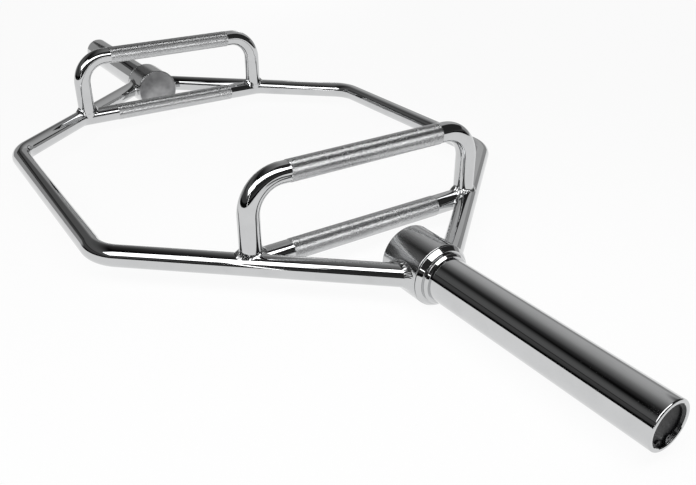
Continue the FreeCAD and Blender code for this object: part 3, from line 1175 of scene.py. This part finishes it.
def coated(mesh, material, surface):
    """Piece of the set, named after its mesh, with a material that ends in the surface."""
    add_node(material.node_tree, "ShaderNodeOutputMaterial", {"Surface": surface})
    mesh.materials.append(material)
    return linked(mesh.name, mesh)


def hung(mesh, material, grey):
    """Glowing surroundings that only the bar shows."""
    piece = coated(mesh, material, glow(material.node_tree, grey))
    piece.visible_camera = False
    piece.visible_shadow = False
    return piece


def studio_floor(stage):
    """Pale floor that shows white and keeps the bar's shadow."""
    mesh = square("studio_floor", stage.floor_size, 0.0)
    material = bpy.data.materials.new("studio_floor")
    tree = cleared(material)
    plain = flow(tree, "ShaderNodeBsdfDiffuse", {"Color": rgba(stage.floor)})
    shade = flow(tree, "ShaderNodeBsdfDiffuse", {"Color": rgba([stage.floor_shade] * 3)})
    white = flow(tree, "ShaderNodeAddShader", {0: shade, 1: glow(tree, stage.floor_glow)})
    look = flow(tree, "ShaderNodeMixShader", {0: seen(tree), 1: plain, 2: white})
    return coated(mesh, material, look)


def studio_ceiling(stage):
    """Grey ceiling with a light panel behind the bar, a dim one in front and a dark right side."""
    mesh = square("studio_ceiling", stage.ceiling_size, stage.ceiling_z)
    material = bpy.data.materials.new("studio_ceiling")
    tree = cleared(material)
    x, y, _ = split(tree, object_place(tree))
    panel = ramp(tree, maths(tree, "MULTIPLY_ADD", x, PANEL_SLANT, y), PANEL_STEPS)
    front = ramp(tree, maths(tree, "ADD", x, y), FRONT_STEPS)
    right = remap(tree, maths(tree, "MULTIPLY_ADD", y, RIGHT_SLANT, x), *RIGHT_EDGE)
    panel = maths(tree, "MULTIPLY", panel, maths(tree, "SUBTRACT", 1.0, right))
    both = maths(tree, "MAXIMUM", panel, front)
    grey = maths(tree, "MAXIMUM", both, maths(tree, "MULTIPLY", right, RIGHT_GREY))
    return hung(mesh, material, grey)


def studio_walls(stage):
    """Dome of dark studio walls round the set, lighter behind and to the left of the bar."""
    mesh = bpy.data.meshes.new("studio_walls")
    edit = bmesh.new()
    across, up = WALL_SEGMENTS
    bmesh.ops.create_uvsphere(edit, u_segments=across, v_segments=up, radius=stage.wall_radius)
    below = [v for v in edit.verts if v.co.z < -NEAR]
    bmesh.ops.delete(edit, geom=below, context="VERTS")
    edit.to_mesh(mesh)
    edit.free()
    material = bpy.data.materials.new("studio_walls")
    tree = cleared(material)
    x, y, z = split(tree, vectors(tree, "NORMALIZE", object_place(tree)))
    left, back = LIGHT_WALL_SIDE
    behind = maths(tree, "MULTIPLY_ADD", x, left, maths(tree, "MULTIPLY", y, back))
    light = ramp(tree, behind, LIGHT_WALL_STEPS)
    grey = maths(tree, "MAXIMUM", light, ramp(tree, z, DARK_WALL_STEPS))
    return hung(mesh, material, grey)


def studio_world():
    """White beyond the floor."""
    world = bpy.data.worlds.new("studio_white")
    bpy.context.scene.world = world
    tree = cleared(world)
    beyond = flow(tree, "ShaderNodeBackground", {"Color": WHITE, "Strength": seen(tree)})
    add_node(tree, "ShaderNodeOutputWorld", {"Surface": beyond})


def studio_lamps(stage):
    """Soft boxes turned and tilted towards the bar, and a fill that gloss doesn't show."""
    for name, (place, (wide, deep), (turn, tilt), level) in SOFT_BOXES.items():
        light = bpy.data.lights.new(name, "AREA")
        light.shape = "RECTANGLE"
        light.size, light.size_y = wide, deep
        light.energy = level * stage.key_radiance * math.pi * wide * deep
        axes = Matrix.Rotation(math.radians(turn), 4, "Z") @ Matrix.Rotation(math.radians(tilt), 4, "Y")
        if (axes.to_3x3() @ UP).dot(Vector(place)) < 0:
            axes = axes @ Matrix.Rotation(math.pi, 4, "Y")
        linked(name, light).matrix_world = Matrix.Translation(place) @ axes
    light = bpy.data.lights.new("fill", "AREA")
    light.size = stage.fill_size
    light.energy = stage.fill
    lamp = linked("fill", light)
    lamp.location = stage.fill_place
    lamp.visible_glossy = False


def studio_camera(stage):
    """Camera at the viewing angle of the photograph."""
    turn, tilt, roll = stage.camera_turn, stage.camera_tilt, stage.camera_roll
    back = Vector((math.sin(turn) * math.cos(tilt), -math.cos(turn) * math.cos(tilt), math.sin(tilt)))
    right = UP.cross(back).normalized()
    over = back.cross(right)
    axes = Matrix((
        right * math.cos(roll) + over * math.sin(roll),
        over * math.cos(roll) - right * math.sin(roll),
        back,
    )).transposed()
    data = bpy.data.cameras.new("camera")
    data.sensor_fit = "HORIZONTAL"
    data.sensor_width = stage.sensor
    data.lens = stage.lens
    data.clip_start, data.clip_end = CLIP
    eye = linked("camera", data)
    eye.matrix_world = Matrix.Translation(stage.camera_place) @ axes.to_4x4()
    bpy.context.scene.camera = eye


class TRAPBAR_OT_stage(bpy.types.Operator):
    """Set up the floor, grey surroundings, lamps and camera"""

    bl_idname = "trapbar.stage"
    bl_label = "Stage"

    def execute(self, context):
        stage = settings().stage
        studio_floor(stage)
        studio_ceiling(stage)
        studio_walls(stage)
        studio_world()
        studio_lamps(stage)
        studio_camera(stage)
        context.scene.view_settings.view_transform = "Standard"
        return {"FINISHED"}


STEPS = (
    TRAPBAR_OT_rails,
    TRAPBAR_OT_hubs,
    TRAPBAR_OT_grips,
    TRAPBAR_OT_handles,
    TRAPBAR_OT_knurling,
    TRAPBAR_OT_welds,
    TRAPBAR_OT_sleeves,
    TRAPBAR_OT_collars,
    TRAPBAR_OT_finish,
    TRAPBAR_OT_stage,
)


class TRAPBAR_PT_panel(bpy.types.Panel):
    """Panel that lists the pieces of the trap bar and their settings"""

    bl_idname = "TRAPBAR_PT_panel"
    bl_label = "Hex Trap Bar"
    bl_space_type = "VIEW_3D"
    bl_region_type = "UI"
    bl_category = "Trap Bar"

    def draw(self, context):
        column = self.layout.column()
        for step in STEPS:
            column.operator(step.bl_idname)
        everything = context.scene.trap_bar
        for name in TrapBarSettings.__annotations__:
            group = getattr(everything, name)
            box = self.layout.box()
            box.label(text=everything.bl_rna.properties[name].name)
            for key in type(group).__annotations__:
                box.prop(group, key)


CLASSES = (
    TrapBarTubes,
    TrapBarHub,
    TrapBarSleeve,
    TrapBarKnurl,
    TrapBarWeld,
    TrapBarFinish,
    TrapBarStage,
    TrapBarSettings,
    *STEPS,
    TRAPBAR_PT_panel,
)


def register():
    """Add the classes and the scene's settings."""
    for each in CLASSES:
        bpy.utils.register_class(each)
    bpy.types.Scene.trap_bar = PointerProperty(type=TrapBarSettings)


def unregister():
    """Remove the settings and the classes."""
    del bpy.types.Scene.trap_bar
    for each in reversed(CLASSES):
        bpy.utils.unregister_class(each)


def main():
    """Build every piece and the stage."""
    register()
    for step in STEPS:
        group, name = step.bl_idname.split(".")
        getattr(getattr(bpy.ops, group), name)()


if __name__ == "__main__":
    main()
